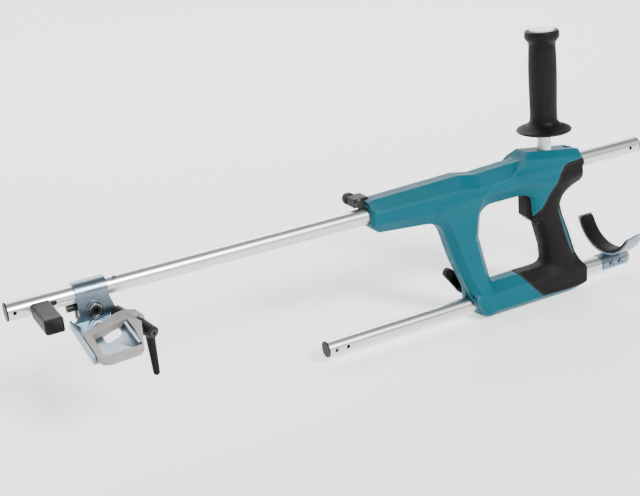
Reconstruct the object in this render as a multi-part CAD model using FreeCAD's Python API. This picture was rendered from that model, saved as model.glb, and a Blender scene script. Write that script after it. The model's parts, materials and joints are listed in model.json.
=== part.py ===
import FreeCAD, Part
import math
import os

# Two-tube extension handle for a hand-held tool.
# Millimetres.  +X runs to the rear, towards the arm rest; +Z is up; -Y is the side the tool hangs on.
# The origin lies on the upper tube's axis, straight below the side grip.

os.makedirs("parts", exist_ok=True)
V = FreeCAD.Vector
AXIS_X, AXIS_Y, AXIS_Z = V(1, 0, 0), V(0, 1, 0), V(0, 0, 1)

# ---------------------------------------------------------------- driving dimensions
TUBE_R = 9.5                 # both tubes are 19 mm aluminium tube
TUBE_WALL = 1.5
UPPER_FRONT, UPPER_REAR = -642.0, 137.5
LOWER_FRONT, LOWER_REAR = -308.0, 121.0
TUBE_GAP = 143.0             # distance between the two tube axes
FIT = 0.05                   # radial running clearance
GAP = 0.3                    # clearance between pieces that must not touch

NOSE_X, TAIL_X = -245.0, 44.0        # front and rear ends of the housing on the upper tube
FOOT_FRONT_X, FOOT_REAR_X = -116.0, 46.0
BARREL_HALF = 20.5           # half widths of the housing's limbs
STRUT_HALF = 17.5
FOOT_HALF = 20.0
GRIP_HALF = 17.0
BOSS_HALF = 18.0
BARREL_EDGE, BOSS_EDGE, STRUT_EDGE, FOOT_EDGE, GRIP_EDGE = 12.0, 6.0, 8.0, 9.0, 11.0
FOOT_DEPTH = 19.0            # foot's depth below the lower tube's axis
FOOT_RISE = 22.5             # foot's height above the lower tube's axis
WALL = 3.0
RUBBER = 2.0                 # overmould thickness
LAP = 0.02

SIDE_GRIP_BASE = 46.0        # underside of the side grip's flange
SIDE_GRIP_LENGTH = 118.0
SIDE_GRIP_R = 16.5
FLANGE_R = 32.2

TRIGGER_HALF = 7.6
TRIGGER_TRAVEL = 8.0

SLOT_FRONT, SLOT_REAR = -617.5, -597.5   # finger slot in the near wall of the upper tube
DRAIN_X = -636.0             # small hole in the near wall, ahead of the slot
FINGER_X = -611.5
FINGER_REACH = 60.0          # how far the finger's tip stands from the tube's axis
FINGER_WIDTH, FINGER_HEIGHT = 18.5, 15.5

SADDLE_FRONT, SADDLE_REAR = -576.5, -544.0
SHEET = 2.5                  # sheet thickness of the saddle and tray
TRAY_Z = -24.5               # tray floor's height under the tube's axis plane
TRAY_TILT = 8.53             # degrees that the tray slopes down away from the tube
TRAY_FRONT, TRAY_REAR = -588.0, -540.0
TRAY_REACH = 86.0
SPINDLE_LEAN = 18.0          # degrees that the clamp spindle leans to the rear
SPINDLE_R = 4.0

CRADLE_R = 49.5              # outer radius of the arm rest's steel strap
CRADLE_X, CRADLE_WIDTH = 88.0, 21.0
PAD_THICKNESS = 4.0
STRAP_THICKNESS = 2.2


# ---------------------------------------------------------------- helpers
def box(x0, x1, y0, y1, z0, z1):
    return Part.makeBox(x1 - x0, y1 - y0, z1 - z0, V(x0, y0, z0))


def rod(radius, start, end):
    return Part.makeCylinder(radius, (end - start).Length, start, end - start)


def ring(outer, inner, start, end):
    return rod(outer, start, end).cut(rod(inner, start, end))


def along_x(radius, x0, x1, y=0.0, z=0.0):
    return rod(radius, V(x0, y, z), V(x1, y, z))


def along_y(radius, y0, y1, x, z):
    return rod(radius, V(x, y0, z), V(x, y1, z))


def hexagon(across_flats, start, end):
    radius = across_flats / math.sqrt(3)
    direction = end - start
    side = direction.cross(AXIS_Z)
    if side.Length < 1e-6:
        side = AXIS_X
    side = V(side).normalize() * radius
    turns = [FreeCAD.Rotation(direction, 60 * i) for i in range(7)]
    wire = Part.makePolygon([start + turn.multVec(side) for turn in turns])
    return Part.Face(wire).extrude(direction)


def polygon_face(points, plane="xz"):
    if plane == "xz":
        corners = [V(a, 0, b) for a, b in points]
    elif plane == "xy":
        corners = [V(a, b, 0) for a, b in points]
    else:
        corners = [V(0, a, b) for a, b in points]
    return Part.Face(Part.makePolygon(corners + corners[:1]))


def rounded_face(points, radius, plane="xz"):
    return polygon_face(points, plane).makeOffset2D(-radius).makeOffset2D(radius)


def limb(points, half, edge, inset=0.0):
    """One limb of the housing: a side outline with soft corners, its long edges rounded over."""
    radius = max(edge - inset, 1.0)
    soft = radius + 0.6
    outline = polygon_face(points).makeOffset2D(-soft - inset).makeOffset2D(2 * soft).makeOffset2D(-soft)
    width = 2 * (half - inset)
    solid = outline.extrude(V(0, width, 0)).Solids[0]
    solid.translate(V(0, -width / 2, 0))
    flat = [e for e in solid.Edges
            if abs(abs(e.BoundBox.YMin) - width / 2) < 1e-4 and e.BoundBox.YLength < 1e-4]
    return solid.makeFillet(radius, flat).Solids[0]


def fuse(shapes):
    return shapes[0].multiFuse(shapes[1:]).removeSplitter()


def solids_of(shape):
    return [s for s in shape.Solids if s.Volume > 1.0]


def largest(shape):
    return max(shape.Solids, key=lambda solid: solid.Volume)


def save(name, *shapes):
    solids = [s for shape in shapes for s in solids_of(shape)]
    whole = solids[0] if len(solids) == 1 else Part.makeCompound(solids)
    whole.exportStep("parts/%s.step" % name)
    print("%-24s %2d solid(s) %10.1f mm3" % (name, len(solids), sum(s.Volume for s in solids)))


def revolve(profile, centre=V(0, 0, 0), axis=AXIS_Z):
    corners = [V(r, 0, h) for r, h in profile]
    face = Part.Face(Part.makePolygon(corners + corners[:1]))
    turned = face.revolve(V(0, 0, 0), AXIS_Z, 360)
    turned.Placement = FreeCAD.Placement(centre, FreeCAD.Rotation(AXIS_Z, axis))
    return turned


# ---------------------------------------------------------------- tubes
PIN_HOLE_R = 2.25
UPPER_HOLE_X = UPPER_REAR - 14.0
LOWER_HOLES = (LOWER_FRONT + 8.0, LOWER_FRONT + 22.7)
TUNE_SLOT = (-160.0, 46.0)           # slot under the upper tube where the trigger's tongue runs
TONGUE_SLOT_HALF = 3.0
FINGER_SLOT_HALF = 2.6
DRAIN_R = 1.9
RIVET_R = 1.6
RIVET_X = -535.0
RIVET_OUT = V(0, -math.sin(math.radians(38)), math.cos(math.radians(38)))   # leans to the near side
ARM_SCREW_X = (93.0, 106.5)
PLUG = 5.0
ROOMY = 50.0                 # more than any half width of the object


def rivet_point(height):
    """A point on the stop rivet's axis, at a height over the upper tube's axis."""
    return V(RIVET_X, 0, 0) + RIVET_OUT * height


def tube(x0, x1, z):
    return ring(TUBE_R, TUBE_R - TUBE_WALL, V(x0, 0, z), V(x1, 0, z))


def cross_hole(x, z, radius=PIN_HOLE_R):
    return along_y(radius, -TUBE_R - 1, TUBE_R + 1, x, z)


def make_tubes():
    upper = tube(UPPER_FRONT, UPPER_REAR, 0)
    upper = upper.cut(cross_hole(UPPER_HOLE_X, 0))
    slot = fuse([along_y(FINGER_SLOT_HALF, -TUBE_R - 1, 0, x, 0) for x in (SLOT_FRONT, SLOT_REAR)]
                + [box(SLOT_FRONT, SLOT_REAR, -TUBE_R - 1, 0, -FINGER_SLOT_HALF, FINGER_SLOT_HALF)])
    upper = upper.cut(slot)
    upper = upper.cut(box(TUNE_SLOT[0], TUNE_SLOT[1], -TONGUE_SLOT_HALF, TONGUE_SLOT_HALF,
                          -TUBE_R - 1, -4))
    upper = upper.cut(along_y(DRAIN_R, -TUBE_R - 1, 0, DRAIN_X, 0))
    upper = upper.cut(rod(RIVET_R, rivet_point(0), rivet_point(TUBE_R + 1)))
    save("upper_tube", upper)
    lower = tube(LOWER_FRONT, LOWER_REAR, -TUBE_GAP)
    for x in LOWER_HOLES:
        lower = lower.cut(cross_hole(x, -TUBE_GAP))
    for x in ARM_SCREW_X:
        lower = lower.cut(cross_hole(x, -TUBE_GAP, ARM_SCREW_R))
    save("lower_tube", lower)


def end_cap(end_x, inward, z):
    """A moulded plug: a thin rim on the tube's end and a stub inside it."""
    rim = along_x(TUBE_R, min(end_x, end_x - inward * 1.5), max(end_x, end_x - inward * 1.5), 0, z)
    stub = along_x(TUBE_R - TUBE_WALL, min(end_x, end_x + inward * PLUG),
                   max(end_x, end_x + inward * PLUG), 0, z)
    return fuse([rim, stub])


def make_caps():
    save("upper_front_cap", end_cap(UPPER_FRONT, 1, 0))
    save("upper_rear_cap", end_cap(UPPER_REAR, -1, 0))
    save("lower_front_cap", end_cap(LOWER_FRONT, 1, -TUBE_GAP))
    save("lower_rear_cap", end_cap(LOWER_REAR, -1, -TUBE_GAP))
    head = rod(RIVET_R + 1, rivet_point(TUBE_R + 0.2), rivet_point(TUBE_R + 1.6))
    shank = rod(RIVET_R, rivet_point(TUBE_R - TUBE_WALL - 0.8), rivet_point(TUBE_R + 0.2))
    save("stop_rivet", fuse([head, shank]))


# ---------------------------------------------------------------- housing
LOW_Z = -TUBE_GAP
FOOT_TOP, FOOT_BOTTOM = LOW_Z + FOOT_RISE, LOW_Z - FOOT_DEPTH

BARREL_OUTLINE = [(NOSE_X, -15), (NOSE_X + 8, -20), (-154, -27), (-98, -22), (-36, -22),
                  (14, -34), (TAIL_X - 8, -27), (TAIL_X, -18), (TAIL_X, 12), (TAIL_X - 6, 17),
                  (-42, 22), (-104, 17.5), (-126, 21.5), (NOSE_X + 9, 19.5), (NOSE_X, 15)]
BOSS_OUTLINE = [(-46, 8), (-38, 27), (-30, 30), (35, 19.5), (41, 14), (41, 4)]
STRUT_OUTLINE = [(-162, -18), (-149, -42), (-137, -82), (FOOT_FRONT_X, FOOT_TOP - 4),
                 (-110, LOW_Z - 8), (-86, LOW_Z - 8), (-88, FOOT_TOP), (-102, -60), (-98, -12)]
FOOT_OUTLINE = [(FOOT_FRONT_X, FOOT_TOP - 6), (-108, LOW_Z - 8), (-90, FOOT_BOTTOM),
                (26, FOOT_BOTTOM), (FOOT_REAR_X - 6, FOOT_BOTTOM + 3), (FOOT_REAR_X, LOW_Z - 8),
                (FOOT_REAR_X, LOW_Z + 12), (FOOT_REAR_X - 8, FOOT_TOP - 2), (-100, FOOT_TOP)]
GRIP_OUTLINE = [(-33, -12), (-30, -46), (-19, -62), (-12, -92), (-8, FOOT_TOP - 6),
                (40, FOOT_TOP - 6), (38, FOOT_TOP + 6), (28, -88), (20, -62), (15, -44), (30, -24),
                (30, -12)]
RUBBER_ZONE = [(14, 4), (70, 7.5), (70, -149), (21, -154), (-20, -152), (-40, -130), (-54, FOOT_TOP + 6),
               (-40, -90), (-34, -58), (-25, -42), (-18, -41)]
STRIP_ZONE = [(5, -47), (9, -47), (29, -108), (29.5, -113), (26, -108)]

NOSE_BUSH = (NOSE_X + 2, NOSE_X + 23)
TAIL_BUSH = (TAIL_X - 15, TAIL_X - 1)
FOOT_FRONT_BUSH = (FOOT_FRONT_X + 9, FOOT_FRONT_X + 24)
FOOT_REAR_BUSH = (FOOT_REAR_X - 15, FOOT_REAR_X - 1)
BUSH_R = 14.0
LOCK_R = 3.0                          # radius of the two locking studs
UPPER_LOCK = (NOSE_X - 6.0, TUBE_R + 5.5)
LOWER_LOCK = (FOOT_FRONT_X + 5.0, LOW_Z + TUBE_R + 4.5)

SCREW_PLACES = [(-205, 14.6), (-150, -21), (-62, 13), (22, -20), (-118, -80), (-52, FOOT_BOTTOM + 5.2),
                (4, -84), (14, FOOT_BOTTOM + 5.2)]
SCREW_R, SCREW_HEAD_R, SCREW_HEAD_Y = 1.5, 3.0, 9.5
PILLAR_R = 4.2


def limbs(inset=0.0):
    return [limb(BARREL_OUTLINE, BARREL_HALF, BARREL_EDGE, inset),
            limb(BOSS_OUTLINE, BOSS_HALF, BOSS_EDGE, inset),
            limb(STRUT_OUTLINE, STRUT_HALF, STRUT_EDGE, inset),
            limb(FOOT_OUTLINE, FOOT_HALF, FOOT_EDGE, inset),
            limb(GRIP_OUTLINE, GRIP_HALF, GRIP_EDGE, inset)]


def cavity():
    """Hollow of the two shells; the bush seats at the four tube mouths stay solid."""
    deep = WALL + RUBBER
    barrel = limb(BARREL_OUTLINE, BARREL_HALF, BARREL_EDGE, WALL)
    barrel = barrel.common(box(NOSE_BUSH[1] + 4, TAIL_BUSH[0] - 4, -50, 50, -60, 60))
    barrel = barrel.cut(box(-46, 60, -50, 50, 12, 60))
    strut = limb(STRUT_OUTLINE, STRUT_HALF, STRUT_EDGE, WALL)
    foot = limb(FOOT_OUTLINE, FOOT_HALF, FOOT_EDGE, deep)
    foot = foot.common(box(FOOT_FRONT_BUSH[1] + 4, FOOT_REAR_BUSH[0] - 4, -50, 50, -300, 0))
    strut = strut.common(box(-200, -60, -50, 50, FOOT_TOP - deep, 0))
    grip = limb(GRIP_OUTLINE, GRIP_HALF, GRIP_EDGE, deep)
    grip = grip.cut(box(-60, 60, -50, 50, -28, 0))
    return fuse([barrel, strut, foot, grip])


SPRING_SEAT_X = 5.0
TRIGGER_REAR, TRIGGER_FRONT = -12.0, -35.0
TRIGGER_TOP, TRIGGER_LOW = -17.0, -61.0
SPRING_Z = -34.0


def ribs():
    """Screw pillars, the spring's seat and the wall round the side grip's nut."""
    pillars = [along_y(PILLAR_R, -ROOMY, ROOMY, x, z) for x, z in SCREW_PLACES]
    seat = box(SPRING_SEAT_X, SPRING_SEAT_X + 3, -13, 13, SPRING_Z - 8, SPRING_Z + 8)
    return pillars + [seat]


COLLAR_R = 8.0
COLLAR_BASE = 21.0
NUT_TOP = COLLAR_BASE - 0.5
NUT_THICKNESS = 6.5
NUT_FLATS = 13.0
STUD_R = 4.0


def tube_room(x0, x1, z):
    return along_x(TUBE_R + 0.7, x0, x1, 0, z)


def cuts():
    """Everything that is taken out of both shells."""
    out = [tube_room(NOSE_X - 30, TAIL_X + 30, 0), tube_room(FOOT_FRONT_X - 40, FOOT_REAR_X + 30, LOW_Z)]
    for span, z in ((NOSE_BUSH, 0), (TAIL_BUSH, 0), (FOOT_FRONT_BUSH, LOW_Z), (FOOT_REAR_BUSH, LOW_Z)):
        out.append(along_x(BUSH_R + FIT, span[0], span[1], 0, z))
    for x, z in SCREW_PLACES:
        out.append(along_y(SCREW_R + 0.1, -12.5, SCREW_HEAD_Y, x, z))
        out.append(along_y(SCREW_HEAD_R + 0.3, SCREW_HEAD_Y, 40, x, z))
    out.append(box(TRIGGER_FRONT - 30, TRIGGER_REAR + TRIGGER_TRAVEL + 1, -TRIGGER_HALF - 0.6,
                   TRIGGER_HALF + 0.6, TRIGGER_LOW - 1.5, TRIGGER_TOP + 5))
    out.append(along_x(5.0, TRIGGER_REAR, SPRING_SEAT_X, 0, SPRING_Z))
    out.append(box(-40, -8, -3, 3, -20, -5))
    # socket for the side grip's collar, its nut and the end of its stud
    out.append(rod(COLLAR_R + 0.2, V(0, 0, COLLAR_BASE), V(0, 0, 60)))
    out.append(hexagon(NUT_FLATS + 0.3, V(0, 0, NUT_TOP - NUT_THICKNESS - 0.2), V(0, 0, COLLAR_BASE)))
    out.append(rod(STUD_R + 0.3, V(0, 0, 11), V(0, 0, COLLAR_BASE)))
    out.append(box(26, 60, -4, 4, 12.5, 40))
    # room for the two locking ears and studs
    x, z = UPPER_LOCK
    out.append(box(x - 8, x + 12.3, 2.7, BARREL_HALF + 0.8, z - 5.8, z + 5.8))
    out.append(box(x - 8, x + 14, BARREL_HALF + 0.5, ROOMY + 10, z - 12, z + 12))
    x, z = LOWER_LOCK
    out.append(along_y(LOCK_R + 0.3, -13, 60, x, z))
    out.append(along_y(LOCK_R + 2.8, -13, -9.5, x, z))
    out.append(box(x - 30, x + 11, FOOT_HALF - 4.3, 60, z - 11, z + 12))
    return out


def make_housing():
    removed, inner = cuts(), cavity()
    outside, under = limbs(), limbs(RUBBER)
    zone = polygon_face(RUBBER_ZONE).extrude(V(0, 2 * ROOMY, 0))
    zone.translate(V(0, -ROOMY, 0))
    strip = polygon_face(STRIP_ZONE).extrude(V(0, 2 * ROOMY, 0))
    strip.translate(V(0, -ROOMY, 0))
    strips = []
    # each shell is made by itself, from the limbs on its own side of the seam
    for side, y0, y1 in (("left", -ROOMY, 0), ("right", 0, ROOMY)):
        half = box(-ROOMY * 10, ROOMY * 10, y0, y1, -ROOMY * 10, ROOMY * 10)
        outer = fuse([shape.common(half) for shape in outside])
        below = fuse([shape.common(half) for shape in under])
        core = outer.cut(inner)
        core = fuse([core] + [rib.common(below) for rib in ribs()]).cut(removed)
        skin = outer.cut(removed).common(zone).cut(below)
        save("housing_" + side, largest(core.cut(skin)))
        save("grip_rubber_" + side, largest(skin.cut(strip)))
        strips.append(largest(skin.common(strip)))
    save("grip_inserts", *strips)
    screws = []
    for x, z in SCREW_PLACES:
        shank = along_y(SCREW_R, -12.0, SCREW_HEAD_Y, x, z)
        head = along_y(SCREW_HEAD_R, SCREW_HEAD_Y, SCREW_HEAD_Y + 2.4, x, z)
        socket = hexagon(2.5, V(x, SCREW_HEAD_Y + 1.0, z), V(x, SCREW_HEAD_Y + 2.5, z))
        screws.append(fuse([shank, head]).cut(socket))
    save("housing_screws", *screws)


def make_bushes():
    for name, span, z in (("upper_rear_bush", TAIL_BUSH, 0), ("lower_front_bush", FOOT_FRONT_BUSH, LOW_Z),
                          ("lower_rear_bush", FOOT_REAR_BUSH, LOW_Z)):
        save(name, ring(BUSH_R, TUBE_R + FIT, V(span[0], 0, z), V(span[1], 0, z)))
    x, z = UPPER_LOCK
    collar = along_x(BUSH_R, NOSE_BUSH[0], NOSE_BUSH[1])
    ear = box(x - 5.5, x + 12, 3, BARREL_HALF + 0.5, z - 4.5, z + 5.5)
    collar = fuse([collar, ear]).cut(along_x(TUBE_R + FIT, x - 30, NOSE_BUSH[1] + 1))
    collar = collar.cut(along_y(LOCK_R + FIT, -5, 40, x, z))
    save("upper_front_bush", collar)


LEVER_HUB_R = 7.0
UPPER_LEVER_THICKNESS, LOWER_LEVER_THICKNESS = 6.0, 9.0


def lock_lever(x, z, face_y, thickness, angle, length, tip_r):
    """A flat hub with a tapering arm; the arm points at the given angle above the -X direction."""
    reach = V(-math.cos(math.radians(angle)), 0, math.sin(math.radians(angle))) * length
    hub = along_y(LEVER_HUB_R, face_y, face_y + thickness, x, z)
    tip = along_y(tip_r, face_y + 2.5, face_y + thickness, x + reach.x, z + reach.z)
    side = V(reach).normalize().cross(AXIS_Y)
    wide, narrow = side * (LEVER_HUB_R - 0.5), side * tip_r
    centre, end = V(x, face_y + 2.5, z), V(x + reach.x, face_y + 2.5, z + reach.z)
    outline = Part.makePolygon([centre + wide, end + narrow, end - narrow, centre - wide, centre + wide])
    arm = Part.Face(outline).extrude(V(0, thickness - 2.5, 0))
    return fuse([hub, arm, tip]).cut(along_y(LOCK_R + FIT, face_y - 5, face_y + 20, x, z))


def make_locks():
    x, z = UPPER_LOCK
    face = BARREL_HALF + 0.8
    back = face + UPPER_LEVER_THICKNESS
    stud = fuse([along_y(LOCK_R, 0.5, back + 4.2, x, z), along_y(LOCK_R + 2.2, -1.5, 2.7, x, z)])
    nut = ring(6, LOCK_R + 0.02, V(x, back + GAP, z), V(x, back + 3, z))
    save("upper_lock_stud", stud, nut)
    save("upper_lock_lever", lock_lever(x, z, face, UPPER_LEVER_THICKNESS, 202, 38, 4.2))
    x, z = LOWER_LOCK
    stud = fuse([along_y(LOCK_R, -10, FOOT_HALF + 9.5, x, z), along_y(LOCK_R + 2.5, -12.5, -9.5, x, z)])
    face = FOOT_HALF - 4.0
    back = face + LOWER_LEVER_THICKNESS
    nut = ring(6, LOCK_R + 0.02, V(x, back + GAP, z), V(x, back + 3, z))
    save("lower_lock_stud", stud, nut)
    save("lower_lock_lever", lock_lever(x, z, face, LOWER_LEVER_THICKNESS, 52, 29, 6.0))


# ---------------------------------------------------------------- trigger train
ROD_HALF = 4.5
ROD_FRONT, ROD_REAR = FINGER_X + 20.0, 60.0
GROOVE_HALF = 2.3
GROOVE_ROOF = -0.4
TONGUE_X = (-31.0, -23.0)
TONGUE_HALF = 1.5
NECK_HALF = 5.0              # half the finger neck's length along the tube


def make_trigger():
    outline = [(TRIGGER_FRONT + 1, TRIGGER_TOP), (TRIGGER_FRONT, -30), (TRIGGER_FRONT, -50),
               (TRIGGER_FRONT + 12, TRIGGER_LOW), (TRIGGER_REAR, TRIGGER_LOW), (TRIGGER_REAR, TRIGGER_TOP)]
    block = limb(outline, TRIGGER_HALF, 1.2)
    block = block.cut(along_x(4.6, TRIGGER_REAR - 4, TRIGGER_REAR + 1, 0, SPRING_Z))
    pocket = box(TONGUE_X[0], TONGUE_X[1], -TONGUE_HALF, TONGUE_HALF, TRIGGER_TOP - 6, TRIGGER_TOP + 1)
    save("trigger", block.cut(pocket))
    tongue = box(TONGUE_X[0], TONGUE_X[1], -TONGUE_HALF, TONGUE_HALF, TRIGGER_TOP - 6, -3.0)
    save("trigger_tongue", tongue)
    shoe = box(TONGUE_X[0] - 3, TONGUE_X[1] + 3, -GROOVE_HALF + 0.4, GROOVE_HALF - 0.4,
               -3.0, GROOVE_ROOF - 0.4)
    save("rod_shoe", shoe)
    save("trigger_spring", coil_spring(3.4, 0.5, TRIGGER_REAR - 3.4, SPRING_SEAT_X - 0.1, 6))


def coil_spring(radius, wire, x0, x1, turns):
    length = x1 - x0 - 2 * wire
    path = Part.makeHelix(length / turns, length, radius)
    section = Part.Wire([Part.makeCircle(wire, V(radius, 0, 0), AXIS_Y)])
    coil = Part.Wire(path).makePipeShell([section], True, True)
    spin = FreeCAD.Rotation(AXIS_Z, AXIS_X)
    coil.Placement = FreeCAD.Placement(V(x0 + wire, 0, SPRING_Z), spin)
    return coil


def make_pull_train():
    bar = box(ROD_FRONT, ROD_REAR, -ROD_HALF, ROD_HALF, -ROD_HALF, ROD_HALF)
    bar = bar.cut(box(TUNE_SLOT[0] - 8, ROD_REAR + 1, -GROOVE_HALF, GROOVE_HALF, -ROD_HALF - 1, GROOVE_ROOF))
    spigot = along_x(3.0, ROD_FRONT - 12, ROD_FRONT)
    save("pull_rod", fuse([bar, spigot]))
    slider_r = TUBE_R - TUBE_WALL - FIT
    slider = along_x(slider_r, FINGER_X - 12, FINGER_X + 19.5)
    slider = slider.cut(along_x(3.02, ROD_FRONT - 12, FINGER_X + 25))
    seat = box(FINGER_X - NECK_HALF, FINGER_X + NECK_HALF, -TUBE_R, 0, -FINGER_SLOT_HALF + 0.3,
               FINGER_SLOT_HALF - 0.3)
    screw_hole = fuse([along_y(2.05, -1, slider_r, FINGER_X, 0), along_y(3.25, 4.4, TUBE_R, FINGER_X, 0)])
    save("finger_slider", slider.cut(seat).cut(screw_hole))
    half_x, half_z = FINGER_WIDTH / 2, FINGER_HEIGHT / 2
    root_y = -TUBE_R - 0.4
    neck = box(FINGER_X - NECK_HALF, FINGER_X + NECK_HALF, root_y, 0, -FINGER_SLOT_HALF + 0.3,
               FINGER_SLOT_HALF - 0.3)
    shape = rounded_face([(FINGER_X - half_x, -half_z - 2.6), (FINGER_X + half_x, -half_z - 2.6),
                          (FINGER_X + half_x, half_z - 2.6), (FINGER_X - half_x, half_z - 2.6)], 2.5)
    bar = shape.extrude(V(0, -(FINGER_REACH - 9 + root_y), 0))
    bar.translate(V(0, root_y, 0))
    peg = box(FINGER_X - 5, FINGER_X + 5, -FINGER_REACH + 4, -FINGER_REACH + 9.1, -6.6, 1.4)
    blocked = along_y(2.05, -8, 3, FINGER_X, 0)
    save("finger", fuse([bar, neck, peg]).cut(blocked))
    boot = shape.extrude(V(0, 9 - LAP, 0))
    boot.translate(V(0, -FINGER_REACH, 0))
    save("finger_boot", boot.makeFillet(2.0, [e for e in boot.Edges
                                              if abs(e.BoundBox.YMax + FINGER_REACH) < 1e-4]).cut(peg))
    save("finger_screw", fuse([along_y(2.0, -7.5, 4.5, FINGER_X, 0), along_y(3.2, 4.5, 6.0, FINGER_X, 0)])
         .common(along_x(slider_r - 0.2, FINGER_X - 10, FINGER_X + 10)))


# ---------------------------------------------------------------- side grip
def make_side_grip():
    base, top = SIDE_GRIP_BASE, SIDE_GRIP_BASE + SIDE_GRIP_LENGTH
    core_r = 9.0
    nut = hexagon(NUT_FLATS, V(0, 0, NUT_TOP - NUT_THICKNESS), V(0, 0, NUT_TOP))
    save("side_grip_nut", nut.cut(rod(STUD_R + 0.02, V(0, 0, 0), V(0, 0, NUT_TOP + 1))))
    save("side_grip_stud", rod(STUD_R, V(0, 0, 11.5), V(0, 0, base + 40)))
    collar = revolve([(STUD_R + 0.02, COLLAR_BASE), (COLLAR_R, COLLAR_BASE), (COLLAR_R, base - 4),
                      (COLLAR_R + 2, base), (STUD_R + 0.02, base)])
    save("side_grip_collar", collar)
    core = revolve([(0, base + 40.2), (STUD_R + 0.02, base + 40.2), (STUD_R + 0.02, base), (core_r, base),
                    (core_r, top - 3), (14, top - 1.5), (14, top + 1), (0, top + 1.6)])
    save("side_grip_core", core)
    skin = [(core_r, base), (FLANGE_R - 1, base), (FLANGE_R, base + 1.4), (FLANGE_R - 0.6, base + 3.2),
            (24, base + 6.5), (SIDE_GRIP_R + 2, base + 9), (SIDE_GRIP_R - 0.8, base + 14),
            (SIDE_GRIP_R - 0.4, base + 40), (SIDE_GRIP_R, base + 70), (SIDE_GRIP_R - 1, base + 100),
            (SIDE_GRIP_R, base + 105), (20, top - 8), (20, top - 2), (18.5, top), (14, top), (14, top - 1.5),
            (core_r, top - 3)]
    save("side_grip_rubber", revolve(skin))


# ---------------------------------------------------------------- tool bracket
PINCH_X, PINCH_Z = -560.0, -17.4
SADDLE_IN = TUBE_R + FIT
SADDLE_OUT = SADDLE_IN + SHEET
LEG_BOTTOM = -31.0
SLOT_TALL, SLOT_WIDE = 16.4, 14.0
SLOT_RIM = 2.4
PINCH_HEAD_R = 5.0             # head of the M6 pinch screw
BLOCK_SCREW_Y, BLOCK_SCREW_Z = 2.0, -TUBE_R - 5.0
TRAY_PIVOT = V(0, 0, TRAY_Z)


def tilt(shape):
    """Local tray space to the object: away from the tube is -Y before the slope is applied."""
    shape = shape.copy()
    shape.rotate(TRAY_PIVOT, AXIS_X, TRAY_TILT)
    return shape


def tray_solid(points, low, high, radius=0.0):
    """Extrude an (x, reach) outline between two heights above the tray's floor."""
    mirrored = [(x, -reach) for x, reach in points]
    face = rounded_face(mirrored, radius, "xy") if radius else polygon_face(mirrored, "xy")
    solid = face.extrude(V(0, 0, high - low))
    solid.translate(V(0, 0, TRAY_Z + low))
    return tilt(solid)


def obround(x, z, width, height, y0, y1):
    r = width / 2
    return fuse([along_y(r, y0, y1, x, z + height / 2 - r), along_y(r, y0, y1, x, z - height / 2 + r),
                 box(x - r, x + r, y0, y1, z - height / 2 + r, z + height / 2 - r)])


def spindle_point(along, height=-1.0):
    """A point on the clamp spindle's axis, at a distance from its start behind the ring's corner."""
    lean = math.radians(SPINDLE_LEAN)
    local = V(-539.0 + along * math.sin(lean), -8.0 - along * math.cos(lean), TRAY_Z + height)
    turn = FreeCAD.Rotation(AXIS_X, TRAY_TILT)
    return TRAY_PIVOT + turn.multVec(local - TRAY_PIVOT)


SPINDLE_DIR = (spindle_point(10) - spindle_point(0)).normalize()


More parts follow.
